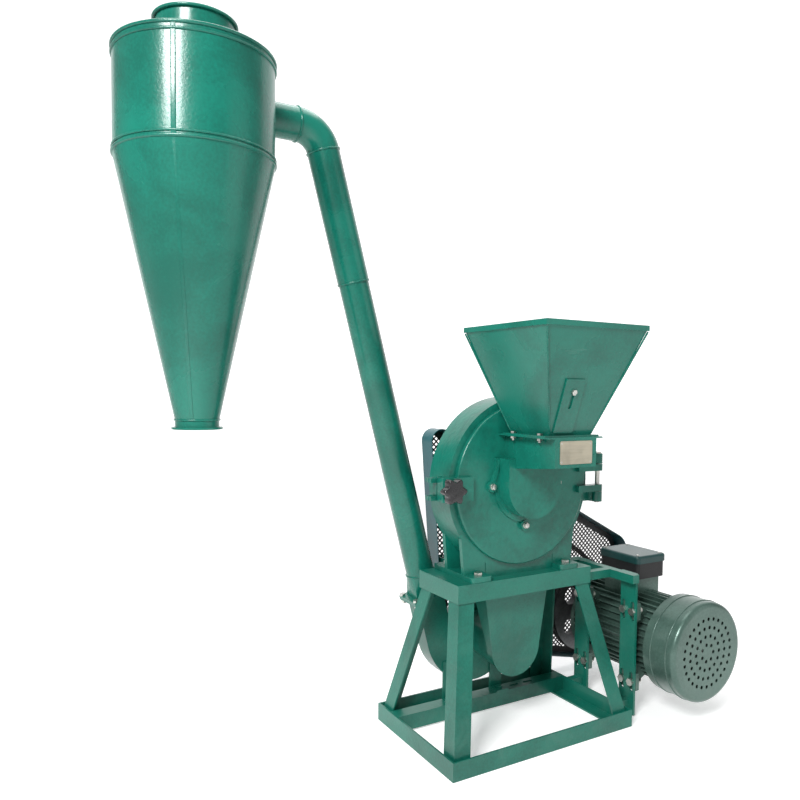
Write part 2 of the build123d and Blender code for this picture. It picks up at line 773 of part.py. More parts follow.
foot_width = 45
with BuildPart() as fan_feet:
    for x in fan_foot_x:
        with BuildSketch(Plane.YZ.offset(x - foot_width / 2)):
            with BuildLine():
                Polyline((fan_rail_y, rail_top), (fan_front_y, rail_top), (fan_front_y, rail_top + 115),
                         (fan_front_y - 5, rail_top + 115), (fan_front_y - 5, rail_top + 5),
                         (fan_rail_y, rail_top + 5), close=True)
            make_face()
        extrude(amount=foot_width)
        with Locations((x, fan_rail_y + fan_rail_leg / 2 - 4, rail_top + 5 + 3)):
            Cylinder(9, 6)
save(fan_feet, "fan_feet")

# ==== transition duct ====
duct_back_y = fan_front_y
duct_tip_r = eye_r + 4


def duct_solid(inset):
    """The duct's body: a box under the mill, a rounded bottom, and a cone back to the blower's eye."""
    front_y = -duct_depth / 2
    with BuildPart() as body:
        with BuildSketch(side_plane(front_y)):
            with BuildLine():
                Polyline((-duct_r + inset, fan_z), (-duct_half + inset, top_height),
                         (duct_half - inset, top_height), (duct_r - inset, fan_z), close=True)
            make_face()
            with Locations((0, fan_z)):
                Circle(duct_r - inset)
        extrude(amount=-(duct_depth / 3))
        with BuildSketch(side_plane(front_y + duct_depth / 3, 0, fan_z)):
            Circle(duct_r - inset)
        with BuildSketch(side_plane(duct_back_y, 0, fan_z)):
            Circle(duct_tip_r - inset)
        loft()
        with BuildSketch(Plane.XY.offset(top_height)):
            Rectangle(2 * (duct_half - inset), duct_depth - 2 * inset)
        with BuildSketch(Plane.XY.offset(fan_z)):
            with Locations((0, -duct_depth / 3)):
                Rectangle(2 * (duct_r - inset), duct_depth / 3 - 2 * inset)
        loft()
    return body.part


with BuildPart() as duct_body:
    add(duct_solid(0))
    add(duct_solid(duct_sheet), mode=Mode.SUBTRACT)
    with BuildSketch(Plane.XY.offset(top_height)):
        Rectangle(2 * (duct_half - duct_sheet), duct_depth - 2 * duct_sheet)
    extrude(amount=-2 * duct_sheet, mode=Mode.SUBTRACT)
    add(tube_y(duct_back_y - 4 * duct_sheet, duct_back_y, duct_tip_r - duct_sheet, 0, 0, fan_z),
        mode=Mode.SUBTRACT)
save(duct_body, "duct_body")

with BuildPart() as duct_front_plate:
    plate_y = -duct_depth / 2 - plate_thick
    plate_half = duct_half + plate_lip
    plate_r = duct_r + plate_lip
    with BuildSketch(side_plane(plate_y)):
        with BuildLine():
            Polyline((-plate_r, fan_z), (-plate_half, top_height - angle_leg),
                     (plate_half, top_height - angle_leg), (plate_r, fan_z), close=True)
        make_face()
        with Locations((0, fan_z)):
            Circle(plate_r)
    extrude(amount=-plate_thick)
save(duct_front_plate, "duct_front_plate")

# ==== riser pipe, elbow and inlet spigot ====
slip_distance = (slip_z - pipe_foot.Z) / cos(lean)
turn_x = pipe_foot.X - (spigot_z - pipe_foot.Z) * tan(lean)
elbow_turn = 90 - outlet_lean
elbow_tangent = elbow_r * tan(radians(elbow_turn / 2))
elbow_distance = (spigot_z - pipe_foot.Z) / cos(lean) - elbow_tangent
elbow_end_x = turn_x - elbow_tangent

with BuildPart() as lower_pipe:
    with BuildSketch(pipe_plane(0)):
        Rectangle(outlet_width + 2 * pipe_flange_lip, fan_width + 2 * pipe_flange_lip)
        Rectangle(outlet_width - 2 * fan_sheet, fan_width - 2 * fan_sheet, mode=Mode.SUBTRACT)
    extrude(amount=pipe_flange_thick)
    with BuildSketch(pipe_plane(pipe_flange_thick)):
        Rectangle(outlet_width, fan_width)
    with BuildSketch(pipe_plane(adapter_length)):
        Circle(pipe_r)
    loft()
    with BuildSketch(pipe_plane(adapter_length)):
        Circle(pipe_r)
    extrude(amount=slip_distance - adapter_length)
    with BuildSketch(pipe_plane(pipe_flange_thick)):
        Rectangle(outlet_width - 2 * fan_sheet, fan_width - 2 * fan_sheet)
    with BuildSketch(pipe_plane(adapter_length)):
        Circle(pipe_r - pipe_wall)
    loft(mode=Mode.SUBTRACT)
    with BuildSketch(pipe_plane(adapter_length)):
        Circle(pipe_r - pipe_wall)
    extrude(amount=slip_distance, mode=Mode.SUBTRACT)
    with BuildSketch(pipe_plane(0)):
        with GridLocations(outlet_width + 20, fan_width + 20, 2, 2):
            Circle(flange_bolt_d / 2)
    extrude(amount=pipe_flange_thick, mode=Mode.SUBTRACT)
save(lower_pipe, "lower_pipe")

with BuildPart() as flange_bolts:
    for dx in (-1, 1):
        for dy in (-1, 1):
            seat = pipe_plane(pipe_flange_thick)
            corner = seat.from_local_coords((dx * (outlet_width + 20) / 2, dy * (fan_width + 20) / 2, 0))
            face = Plane(origin=corner, x_dir=seat.x_dir, z_dir=seat.z_dir)
            add(bolt_stack(face, flange_bolt_d, 2 * pipe_flange_thick))
save(flange_bolts, "flange_bolts")

sleeve_r = pipe_r + pipe_wall
with BuildPart() as upper_pipe:
    with BuildSketch(pipe_plane(slip_distance - slip_lap)):
        Circle(sleeve_r)
        Circle(pipe_r, mode=Mode.SUBTRACT)
    extrude(amount=elbow_distance - slip_distance + slip_lap)
save(upper_pipe, "upper_pipe")

elbow_start = pipe_plane(elbow_distance)
elbow_centre = Vector(elbow_end_x, pipe_y, spigot_z - elbow_r)
with BuildPart() as inlet_elbow:
    with BuildSketch(elbow_start):
        Circle(sleeve_r)
        Circle(pipe_r, mode=Mode.SUBTRACT)
    revolve(axis=Axis(elbow_centre, (0, -1, 0)), revolution_arc=elbow_turn)
save(inlet_elbow, "inlet_elbow")

# ==== cyclone ====
cyclone_y = pipe_y - cyclone_r + cyclone_sheet + sleeve_r


def upright_plane(z):
    return Plane(origin=(cyclone_x, cyclone_y, z))


with BuildPart() as cyclone_barrel:
    with BuildSketch(upright_plane(barrel_bottom)):
        Circle(cyclone_r)
    extrude(amount=barrel_top - barrel_bottom)
    with BuildSketch(Plane(origin=(elbow_end_x, pipe_y, spigot_z), x_dir=(0, 1, 0), z_dir=(-1, 0, 0))):
        Circle(sleeve_r)
    extrude(amount=elbow_end_x - cyclone_x)
    with BuildSketch(upright_plane(barrel_bottom)):
        Circle(cyclone_r - cyclone_sheet)
    extrude(amount=barrel_top - barrel_bottom - cyclone_sheet, mode=Mode.SUBTRACT)
    with BuildSketch(Plane(origin=(elbow_end_x, pipe_y, spigot_z), x_dir=(0, 1, 0), z_dir=(-1, 0, 0))):
        Circle(pipe_r)
    extrude(amount=elbow_end_x - cyclone_x, mode=Mode.SUBTRACT)
    with BuildSketch(upright_plane(barrel_top - cyclone_sheet)):
        Circle(vortex_r)
    extrude(amount=cyclone_sheet, mode=Mode.SUBTRACT)
    with BuildSketch(Plane(origin=(cyclone_x, cyclone_y, 0), x_dir=(1, 0, 0), z_dir=(0, -1, 0))):
        with Locations((cyclone_r, barrel_top - bead_r), (cyclone_r, barrel_bottom + bead_r)):
            Circle(bead_r)
    revolve(axis=Axis((cyclone_x, cyclone_y, 0), (0, 0, 1)))
save(cyclone_barrel, "cyclone_barrel")

with BuildPart() as vortex_tube:
    with BuildSketch(upright_plane(vortex_top - vortex_dip - (vortex_top - barrel_top))):
        Circle(vortex_r)
        Circle(vortex_r - cyclone_sheet, mode=Mode.SUBTRACT)
    extrude(amount=vortex_dip + vortex_top - barrel_top)
    with BuildSketch(Plane(origin=(cyclone_x, cyclone_y, 0), x_dir=(1, 0, 0), z_dir=(0, -1, 0))):
        with Locations((vortex_r + bead_r - 1, vortex_top - bead_r)):
            Circle(bead_r)
    revolve(axis=Axis((cyclone_x, cyclone_y, 0), (0, 0, 1)))
save(vortex_tube, "vortex_tube")

cone_foot = cone_bottom + cone_collar
with BuildPart() as cyclone_cone:
    with BuildSketch(Plane(origin=(cyclone_x, cyclone_y, 0), x_dir=(1, 0, 0), z_dir=(0, -1, 0))):
        with BuildLine():
            Polyline((cone_tip_r - cyclone_sheet, cone_bottom), (cone_tip_r + 8, cone_bottom),
                     (cone_tip_r + 8, cone_bottom + 5), (cone_tip_r, cone_bottom + 5),
                     (cone_tip_r, cone_foot),
                     (cyclone_r, barrel_bottom), (cyclone_r - cyclone_sheet, barrel_bottom),
                     (cone_tip_r - cyclone_sheet, cone_foot), close=True)
        make_face()
    revolve(axis=Axis((cyclone_x, cyclone_y, 0), (0, 0, 1)))
save(cyclone_cone, "cyclone_cone")

# ==== motor ====
shield_r = motor_body_r + fin_height


def motor_fins():
    """The cooling fins round the motor's body, each sunk a little into it."""
    with BuildPart() as fins:
        with BuildSketch(side_plane(motor_front_y, motor_x, motor_z)):
            with PolarLocations(motor_body_r + fin_height / 2 - 1, fin_count, start_angle=180 / fin_count):
                Rectangle(fin_height + 2, fin_thick)
        extrude(amount=-(motor_back_y - motor_front_y))
    return fins.part


with BuildPart() as motor_body:
    add(tube_y(motor_front_y, motor_back_y, motor_body_r, stator_bore_r, motor_x, motor_z))
    add(motor_fins())
    # flat pad on top for the terminal box
    with BuildSketch(Plane.XY.offset(motor_z + motor_body_r - 14)):
        with Locations((motor_x, 0)):
            Rectangle(2 * terminal_half_x - 20, 2 * terminal_half_y - 30)
    extrude(amount=terminal_low - motor_z - motor_body_r + 14)
    add(tube_y(motor_front_y, motor_back_y, stator_bore_r, 0, motor_x, motor_z), mode=Mode.SUBTRACT)
save(motor_body, "motor_body")

# four cast feet between the body and the uprights of the stand
foot_pad = 14
with BuildPart() as motor_feet:
    for y in foot_hole_y:
        for s in (-1, 1):
            with BuildSketch(side_plane(y - 5)):
                with BuildLine():
                    Polyline((mount_face, motor_z + s * (foot_hole_z + 26)),
                             (mount_face + foot_pad, motor_z + s * (foot_hole_z + 26)),
                             (motor_x - 70, motor_z + s * (motor_body_r - 20)),
                             (motor_x - 70, motor_z + s * 70), (mount_face, motor_z + s * 60), close=True)
                make_face()
            extrude(amount=-10)
            with BuildSketch(Plane.YZ.offset(mount_face)):
                with Locations((y, motor_z + s * foot_hole_z)):
                    Rectangle(62, 52)
            extrude(amount=foot_pad)
            with BuildSketch(Plane.YZ.offset(mount_face)):
                with Locations((y - foot_bolt_pair, motor_z + s * foot_hole_z),
                               (y + foot_bolt_pair, motor_z + s * foot_hole_z)):
                    Circle(bolt_d / 2)
            extrude(amount=foot_pad, mode=Mode.SUBTRACT)
    add(tube_y(motor_front_y, motor_back_y, motor_body_r, 0, motor_x, motor_z), mode=Mode.SUBTRACT)
    fins = motor_fins()
    add(fins, mode=Mode.SUBTRACT)
save(motor_feet, "motor_feet")

with BuildPart() as motor_foot_bolts:
    for y in foot_hole_y:
        for dy in (-foot_bolt_pair, foot_bolt_pair):
            for dz in (-foot_hole_z, foot_hole_z):
                seat = Plane(origin=(upright_x, y + dy, motor_z + dz), x_dir=(0, 1, 0), z_dir=(-1, 0, 0))
                add(bolt_stack(seat, bolt_d, upright_thick + 14))
save(motor_foot_bolts, "motor_foot_bolts")

with BuildPart() as motor_end_shields:
    for y0, y1, outer_r in ((motor_front_y - shield_thick, motor_front_y, shield_r),
                            (motor_back_y, motor_back_y + shield_thick, shield_r),
                            (motor_back_y + shield_thick, motor_shoulder_y, 0.5 * shield_r)):
        add(tube_y(y0, y1, outer_r, motor_shaft_r + running, motor_x, motor_z))
save(motor_end_shields, "motor_end_shields")

with BuildPart() as motor_rotor:
    add(tube_y(cowl_front_y + 24, motor_shaft_end, motor_shaft_r, 0, motor_x, motor_z))
    add(tube_y(motor_front_y + 40, motor_back_y - 40, stator_bore_r - 1, 0, motor_x, motor_z))
save(motor_rotor, "motor_rotor")

fan_disc_y = motor_front_y - shield_thick - 14
with BuildPart() as motor_fan:
    add(tube_y(fan_disc_y - 4, fan_disc_y, cowl_r - 26, motor_shaft_r, motor_x, motor_z))
    add(tube_y(fan_disc_y - 42, fan_disc_y, 2 * motor_shaft_r, motor_shaft_r, motor_x, motor_z))
    with Locations(side_plane(fan_disc_y - 20, motor_x, motor_z)):
        with PolarLocations(0.55 * cowl_r, blade_count):
            Box(0.5 * cowl_r, 3, 40)
save(motor_fan, "motor_fan")

with BuildPart() as fan_cowl:
    with BuildSketch(side_plane(cowl_front_y, motor_x, motor_z)):
        Circle(cowl_r)
    extrude(amount=-(motor_front_y - cowl_front_y))
    fillet(fan_cowl.faces().sort_by(Axis.Y)[0].edges(), 14)
    offset(amount=-cowl_sheet, openings=fan_cowl.faces().sort_by(Axis.Y)[-1])
    for ring in range(1, 5):
        with Locations(side_plane(cowl_front_y, motor_x, motor_z)):
            with PolarLocations(0.17 * cowl_r * ring, 7 * ring):
                Cylinder(5.5, 4 * cowl_sheet, mode=Mode.SUBTRACT)
    add(tube_y(motor_front_y - shield_thick, motor_front_y - 2, cowl_r - cowl_sheet, shield_r, motor_x,
               motor_z))
save(fan_cowl, "fan_cowl")

with BuildPart() as terminal_box:
    with BuildSketch(Plane.XY.offset(terminal_low)):
        with Locations((motor_x, 0)):
            RectangleRounded(2 * terminal_half_x, 2 * terminal_half_y, 12)
    extrude(amount=terminal_top - terminal_low)
    with BuildSketch(Plane.XY.offset(terminal_low + 4)):
        with Locations((motor_x, 0)):
            RectangleRounded(2 * terminal_half_x - 8, 2 * terminal_half_y - 8, 8)
    extrude(amount=terminal_top - terminal_low, mode=Mode.SUBTRACT)
    with BuildSketch(Plane.YZ.offset(motor_x + terminal_half_x - 6)):
        with Locations((-40, (terminal_low + terminal_top) / 2)):
            Circle(gland_r - 4)
    extrude(amount=8, mode=Mode.SUBTRACT)
save(terminal_box, "terminal_box")

with BuildPart() as terminal_lid:
    with BuildSketch(Plane.XY.offset(terminal_top)):
        with Locations((motor_x, 0)):
            RectangleRounded(2 * terminal_half_x + 8, 2 * terminal_half_y + 8, 15)
    extrude(amount=lid_height)
    fillet(terminal_lid.faces().sort_by(Axis.Z)[-1].edges(), 8)
save(terminal_lid, "terminal_lid")

with BuildPart() as cable_gland:
    with BuildSketch(Plane(origin=(motor_x + terminal_half_x, -40, (terminal_low + terminal_top) / 2),
                           x_dir=(0, 1, 0), z_dir=(1, 0, 0))):
        RegularPolygon(gland_r, 6)
        Circle(gland_r - 7, mode=Mode.SUBTRACT)
    extrude(amount=10)
    with BuildSketch(Plane(origin=(motor_x + terminal_half_x + 10, -40, (terminal_low + terminal_top) / 2),
                           x_dir=(0, 1, 0), z_dir=(1, 0, 0))):
        Circle(gland_r - 2)
        Circle(gland_r - 7, mode=Mode.SUBTRACT)
    extrude(amount=16)
save(cable_gland, "cable_gland")

# ==== door ====
door_back_y = case_front_y
door_front_y = door_back_y - door_thick


def channel_face(y, half, top):
    """The U outline of the feed channel: a half circle round the mill axis with straight sides."""
    with BuildSketch(side_plane(y, 0, mill_z)) as face:
        Circle(half)
        with Locations((0, (top - mill_z) / 2)):
            Rectangle(2 * half, top - mill_z)
        with Locations((0, top - mill_z + half)):
            Rectangle(2 * half, 2 * half, mode=Mode.SUBTRACT)
    return face.sketch


with BuildPart() as front_door:
    add(tube_y(door_front_y, door_back_y, door_r, 0, 0, mill_z))
    fillet(front_door.faces().sort_by(Axis.Y)[0].edges(), 5)
    add(tube_y(door_back_y, door_back_y + spigot_depth, spigot_r, spigot_inner_r, 0, mill_z))
    extrude(channel_face(door_front_y - 6, channel_r + channel_flange, channel_top), amount=-6)
    extrude(channel_face(channel_front_y, channel_r, channel_top), amount=-(door_front_y - channel_front_y))
    # three screwed bosses round the channel's flange, and a rib from one of them to the channel's top
    for turn in (180, 270, 0):
        with Locations(side_plane(door_front_y - boss_height / 2, 0, mill_z)):
            with Locations((boss_circle_r * cos(radians(turn)), boss_circle_r * sin(radians(turn)))):
                Cylinder(boss_r, boss_height)
    with BuildSketch(side_plane(door_front_y - boss_height)):
        with BuildLine():
            Polyline((-boss_circle_r - 5, mill_z + 8), (-channel_r - 2, channel_top - 4),
                     (-channel_r + 2, channel_top - 4), (-boss_circle_r + 7, mill_z + 8), close=True)
        make_face()
    extrude(amount=-boss_height)
    # lug for the latch
    with BuildSketch(Plane.XY.offset(mill_z - 32)):
        with BuildLine():
            Polyline((-185, door_back_y), (-185, door_front_y - 16), (latch_x, door_front_y - 20),
                     (latch_x - 18, door_front_y - 14), (latch_x - 18, door_back_y), close=True)
        make_face()
    extrude(amount=64)
    # moving knuckles of the hinge
    moving_arm = [(195, door_front_y), (195, door_front_y - 14), (hinge_x, hinge_y - knuckle_r),
                  (hinge_x + knuckle_r, hinge_y), (hinge_x, hinge_y + knuckle_r - 1),
                  (door_r, door_front_y + 10)]
    for low in (knuckle_low + knuckle_height + 1.5,
                knuckle_low + hinge_height - knuckle_height - 1.5 - 20):
        add(hinge_knuckle(low, 20, moving_arm, hinge_pin_r + running))
    # the hollow of the feed channel and its way into the mill
    extrude(channel_face(channel_front_y + channel_wall, channel_r - channel_wall,
                         channel_top - channel_wall),
            amount=-(door_front_y - channel_front_y - channel_wall), mode=Mode.SUBTRACT)
    add(tube_y(channel_front_y + channel_wall, door_back_y, feed_hole_r, 0, 0, mill_z), mode=Mode.SUBTRACT)
    with BuildSketch(Plane.XY.offset(box_floor_back + channel_wall)):
        with Locations((0, (channel_front_y + door_front_y) / 2)):
            Rectangle(2 * (box_half - sheet), door_front_y - channel_front_y)
    extrude(amount=channel_top - box_floor_back, mode=Mode.SUBTRACT)
    with BuildSketch(side_plane(door_front_y - 20, latch_x, mill_z)):
        Circle(stud_r + running)
    extrude(amount=-(door_back_y - door_front_y + 20), mode=Mode.SUBTRACT)
save(front_door, "front_door")

neck_y = (hopper_neck_front + hopper_neck_back) / 2
hopper_bolt_y = 55
with BuildPart() as feed_box:
    with BuildSketch(Plane.YZ.offset(-box_half)):
        with BuildLine():
            Polyline((box_front_y, box_floor_front), (box_front_y, box_top), (door_front_y, box_top),
                     (door_front_y, channel_top), (channel_front_y, channel_top),
                     (channel_front_y, box_floor_back), close=True)
        make_face()
    extrude(amount=2 * box_half)
    with BuildSketch(Plane.YZ.offset(-box_half + sheet)):
        with BuildLine():
            Polyline((box_front_y + sheet, box_floor_front + sheet), (box_front_y + sheet, box_top),
                     (door_front_y, box_top), (door_front_y, channel_top), (channel_front_y, channel_top),
                     (channel_front_y, box_floor_back + sheet), close=True)
        make_face()
    extrude(amount=2 * (box_half - sheet), mode=Mode.SUBTRACT)
    # top rim that the hopper is bolted to
    with BuildSketch(Plane.XY.offset(box_top - 4)):
        with Locations((0, (box_front_y + door_front_y) / 2)):
            Rectangle(2 * box_half + 2 * flange_width, door_front_y - box_front_y)
        with Locations((0, (hopper_neck_front + hopper_neck_back) / 2)):
            Rectangle(2 * (box_half - sheet), hopper_neck_back - hopper_neck_front, mode=Mode.SUBTRACT)
        with Locations((0, neck_y)):
            with GridLocations(2 * box_half + flange_width, 2 * hopper_bolt_y, 2, 2):
                Circle(4, mode=Mode.SUBTRACT)
    extrude(amount=4)
save(feed_box, "feed_box")

neck_half_x = box_half - sheet
neck_depth = hopper_neck_back - hopper_neck_front
hopper_low = box_top


def hopper_solid(inset):
    with BuildPart() as funnel:
        with BuildSketch(Plane.XY.offset(hopper_low)):
            with Locations((0, neck_y)):
                Rectangle(2 * (neck_half_x - inset), neck_depth - 2 * inset)
        with BuildSketch(Plane.XY.offset(hopper_top)):
            with Locations((0, hopper_rim_y)):
                Rectangle(hopper_rim_length - 2 * inset, hopper_rim_depth - 2 * inset)
        loft()
    return funnel.part


with BuildPart() as hopper:
    add(hopper_solid(0))
    with BuildSketch(Plane.XY.offset(hopper_low)):
        with Locations((0, neck_y)):
            Rectangle(2 * (box_half + flange_width), neck_depth + 16)
    extrude(amount=4)
    with BuildSketch(Plane.XY.offset(hopper_top - 14)):
        with Locations((0, hopper_rim_y)):
            Rectangle(hopper_rim_length, hopper_rim_depth)
    extrude(amount=14)
    add(hopper_solid(sheet), mode=Mode.SUBTRACT)
    with BuildSketch(Plane.XY.offset(hopper_low)):
        with Locations((0, neck_y)):
            with GridLocations(2 * box_half + flange_width, 2 * hopper_bolt_y, 2, 2):
                Circle(4)
    extrude(amount=4, mode=Mode.SUBTRACT)
save(hopper, "hopper")

# the gate strip lies on the sloping front of the hopper, under a clamp bolt
slope_y = (hopper_rim_y - hopper_rim_depth / 2 - hopper_neck_front) / (hopper_top - hopper_low)
slope_up = Vector(0, slope_y, 1).normalized()
slope_out = Vector(1, 0, 0).cross(slope_up)
gate_foot = Vector(gate_offset, hopper_neck_front + slope_y * 12, hopper_low + 12)
gate_plane = Plane(origin=gate_foot + slope_out * gap, x_dir=(1, 0, 0), z_dir=slope_out)
gate_thick = 4
clamp_height = gate_length - 34
clamp_seat = gate_plane.from_local_coords((0, clamp_height, gate_thick + gap))
with BuildPart() as feed_gate:
    with BuildSketch(gate_plane):
        with Locations((0, gate_length / 2)):
            RectangleRounded(gate_width, gate_length, 3)
        with Locations((0, clamp_height - gate_travel / 2)):
            SlotOverall(gate_travel + 11, 11, rotation=90, mode=Mode.SUBTRACT)
    extrude(amount=gate_thick)
save(feed_gate, "feed_gate")

with BuildPart() as hopper_bolts:
    for sx in (-1, 1):
        for y in (neck_y - hopper_bolt_y, neck_y + hopper_bolt_y):
            seat = Plane(origin=(sx * (box_half + flange_width / 2), y, hopper_low + 4))
            add(bolt_stack(seat, 8, 8))
    seat = Plane(origin=clamp_seat, x_dir=(1, 0, 0), z_dir=slope_out)
    add(bolt_stack(seat, 8, gate_thick + 2 * gap, nut=False))
save(hopper_bolts, "hopper_bolts")

with BuildPart() as name_plate:
    with BuildSketch(side_plane(box_front_y, 0, (box_floor_front + box_top) / 2)):
        RectangleRounded(110, 60, 4)
    extrude(amount=1.5)
save(name_plate, "name_plate")

# ==== hinge pin, latch ====
with BuildPart() as hinge_pin:
    with BuildSketch(Plane.XY.offset(knuckle_low - 3)):
        with Locations((hinge_x, hinge_y)):
            Circle(hinge_pin_r)
    extrude(amount=hinge_height + 6)
    with BuildSketch(Plane.XY.offset(knuckle_low + hinge_height)):
        with Locations((hinge_x, hinge_y)):
            Circle(hinge_pin_r + 4)
    extrude(amount=5)
save(hinge_pin, "hinge_pin")

with BuildPart() as latch_trunnion:
    with Locations((latch_x, trunnion_y, mill_z)):
        Box(32, 20, ear_gap - 1)
        Cylinder(trunnion_r / 2, ear_gap + 2 * ear_thick + 6)
    add(tube_y(trunnion_y - 20, trunnion_y + 20, stud_r + 2, 0, latch_x, mill_z), mode=Mode.SUBTRACT)
save(latch_trunnion, "latch_trunnion")

knob_back_y = door_front_y - 20
knob_thick = 26
with BuildPart() as star_knob_bolt:
    add(tube_y(knob_back_y - knob_thick / 2, trunnion_y + 13, stud_r, 0, latch_x, mill_z))
    add(tube_y(knob_back_y - 6, knob_back_y - gap, 15, 0, latch_x, mill_z))
    with BuildSketch(side_plane(knob_back_y - 6, latch_x, mill_z)):
        Circle(0.72 * knob_r)
        with PolarLocations(0.74 * knob_r, 6):
            Circle(0.26 * knob_r)
    extrude(amount=knob_thick)
save(star_knob_bolt, "star_knob_bolt")
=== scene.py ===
"""A self-suction hammer mill: stand, mill, blower, riser pipe, cyclone and motor, finished and lit.

Lengths are metres. The frame holds the rigid model, and every section below finishes one piece or one
group of pieces.
"""
from math import atan2, cos, pi, radians, sin

import bpy
from mathutils import Matrix, Vector


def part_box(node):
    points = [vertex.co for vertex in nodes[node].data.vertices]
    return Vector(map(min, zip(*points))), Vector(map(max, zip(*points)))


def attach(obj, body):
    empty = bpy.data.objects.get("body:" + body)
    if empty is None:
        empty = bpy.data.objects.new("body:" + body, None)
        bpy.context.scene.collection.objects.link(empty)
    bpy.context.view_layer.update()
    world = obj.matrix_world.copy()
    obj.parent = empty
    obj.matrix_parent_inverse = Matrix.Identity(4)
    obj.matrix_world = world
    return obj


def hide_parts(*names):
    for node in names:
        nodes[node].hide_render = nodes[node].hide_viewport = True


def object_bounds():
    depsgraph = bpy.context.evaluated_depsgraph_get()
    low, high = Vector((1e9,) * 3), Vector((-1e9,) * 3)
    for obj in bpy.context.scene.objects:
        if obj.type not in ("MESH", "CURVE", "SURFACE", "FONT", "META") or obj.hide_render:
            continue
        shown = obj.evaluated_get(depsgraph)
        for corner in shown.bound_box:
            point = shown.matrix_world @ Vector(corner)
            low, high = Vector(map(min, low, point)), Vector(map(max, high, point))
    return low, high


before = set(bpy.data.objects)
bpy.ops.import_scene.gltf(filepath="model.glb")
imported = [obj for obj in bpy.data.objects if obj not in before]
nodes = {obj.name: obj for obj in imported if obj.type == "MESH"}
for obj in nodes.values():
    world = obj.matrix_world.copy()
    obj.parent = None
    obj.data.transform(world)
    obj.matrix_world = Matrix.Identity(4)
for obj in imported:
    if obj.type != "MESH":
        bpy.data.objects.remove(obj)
cad_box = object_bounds()


# ---- green enamel ----
# Sheet steel and castings are sprayed with one coat of blue-green enamel. It lies thick and a little
# lumpy, its tone varies in broad patches, and it has picked up flour dust and fine scratches.
class Wire:
    """One output of a node. Sums on wires add Math nodes, and node() adds any other node."""

    def __init__(self, tree, socket=None):
        self.tree = tree
        self.socket = socket

    def node(self, kind, settings=None, sockets=None, out=0):
        made = self.tree.nodes.new(kind)
        for key, value in (settings or {}).items():
            if key == "stops":
                while len(made.color_ramp.elements) < len(value):
                    made.color_ramp.elements.new(0.5)
                for element, (place, tone) in zip(made.color_ramp.elements, value):
                    element.position = place
                    element.color = tone
            else:
                setattr(made, key, value)
        for key, value in (sockets or {}).items():
            if isinstance(value, Wire):
                self.tree.links.new(value.socket, made.inputs[key])
            else:
                made.inputs[key].default_value = value
        return Wire(self.tree, made.outputs[out] if made.outputs else None)

    def sum(self, operation, a, b):
        return self.node("ShaderNodeMath", {"operation": operation}, {0: a, 1: b})

    def __add__(self, other):
        return self.sum("ADD", self, other)

    def __radd__(self, other):
        return self.sum("ADD", other, self)

    def __sub__(self, other):
        return self.sum("SUBTRACT", self, other)

    def __rsub__(self, other):
        return self.sum("SUBTRACT", other, self)

    def __mul__(self, other):
        return self.sum("MULTIPLY", self, other)

    def __rmul__(self, other):
        return self.sum("MULTIPLY", other, self)


def noise(wires, place, scale, detail=3.0, distortion=0.0):
    return wires.node("ShaderNodeTexNoise", None,
                      {"Vector": place, "Scale": scale, "Detail": detail, "Distortion": distortion})


def band(wires, value, low, high):
    """Rises smoothly from 0 to 1 as the value goes from low to high."""
    return wires.node("ShaderNodeMapRange", {"interpolation_type": "SMOOTHSTEP"},
                      {"Value": value, "From Min": low, "From Max": high})


def mix(wires, factor, a, b):
    return wires.node("ShaderNodeMix", {"data_type": "RGBA"}, {0: factor, 6: a, 7: b}, 2)


def finish(name, light, dark, rough=0.35, rough_play=0.12, metallic=0.0, grain=160.0, relief=0.0004,
           dust=0.0, dust_tone=(0.30, 0.31, 0.26, 1), coat=0.0, tone_scale=5.0, scratches=0.0,
           stretch=(1, 1, 1)):
    """A surface whose tone, gloss and relief vary: broad patches, fine grain, dust low down, scratches."""
    material = bpy.data.materials.new(name)
    material.use_nodes = True
    tree = material.node_tree
    tree.nodes.clear()
    wires = Wire(tree)
    place = wires.node("ShaderNodeTexCoord", out=3)
    stretched = wires.node("ShaderNodeMapping", None, {"Vector": place, "Scale": stretch})
    patches = noise(wires, place, tone_scale, 5.0, 0.6)
    speckle = noise(wires, stretched, grain, 2.0)
    tone = mix(wires, band(wires, patches + 0.35 * speckle, 0.42, 0.86), (*dark, 1), (*light, 1))
    roughness = rough + (patches - 0.5) * (2 * rough_play)
    if scratches:
        slanted = wires.node("ShaderNodeMapping", None,
                             {"Vector": place, "Rotation": (0.5, 0.3, 0.8), "Scale": (6, 160, 40)})
        lines = noise(wires, slanted, 1.0, 3.0, 0.4)
        marks = band(wires, lines, 0.71, 0.76) * band(wires, patches, 0.48, 0.6)
        tone = mix(wires, marks * scratches, tone, (0.34, 0.42, 0.38, 1))
        roughness = roughness + marks * 0.15
    if dust:
        height = wires.node("ShaderNodeSeparateXYZ", None, {"Vector": place}, 2)
        low = 1 - band(wires, height, 0.02, 0.55)
        cloud = band(wires, noise(wires, place, 17.0, 6.0, 0.8), 0.45, 0.72)
        settled = cloud * (low + 0.12) * dust
        tone = mix(wires, settled, tone, dust_tone)
        roughness = roughness + settled * 0.35
    bump = wires.node("ShaderNodeBump", None,
                      {"Height": speckle + 0.5 * patches, "Distance": relief, "Strength": 0.9})
    shader = wires.node("ShaderNodeBsdfPrincipled", None,
                        {"Base Color": tone, "Roughness": roughness, "Metallic": metallic, "Normal": bump,
                         "Coat Weight": coat, "Coat Roughness": 0.18, "Specular IOR Level": 0.32})
    wires.node("ShaderNodeOutputMaterial", None, {"Surface": shader})
    return material


def dress(material, *names):
    """Gives CAD nodes their finish."""
    for name in names:
        for slot in nodes[name].material_slots:
            slot.material = material


